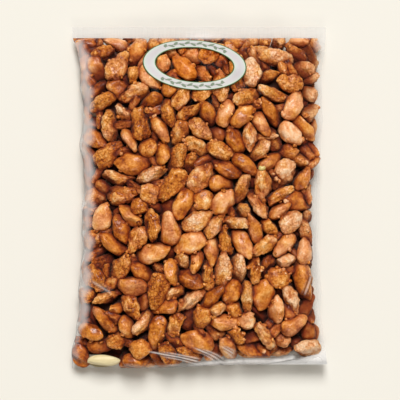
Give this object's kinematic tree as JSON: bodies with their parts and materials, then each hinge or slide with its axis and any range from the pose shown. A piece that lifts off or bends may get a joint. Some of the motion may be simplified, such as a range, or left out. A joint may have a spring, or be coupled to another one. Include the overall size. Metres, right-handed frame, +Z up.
{
  "type": "bag of candied almonds",
  "caption": "Clear film bag filled with brown candied almonds, lying on its back, with a flat sealed header and a plain oval print band near the top.",
  "frame": {"origin": "middle of the bag's outline, on the table that it lies on", "axes": "+X across the bag to the right, +Y from the foot to the sealed header, +Z up through the printed front"},
  "size_m": [0.203, 0.273, 0.0417],
  "materials": {
    "candied_almonds": "caramelised sugar over roasted almonds, partly crusted and partly glossy",
    "clear_film": "thin clear film with soft wrinkles",
    "band_print": "pale print on film with thin dark green outlines"
  },
  "bodies": {
    "root": {"bag": "candied_almonds", "oval_band": "band_print"}
  },
  "joints": []
}
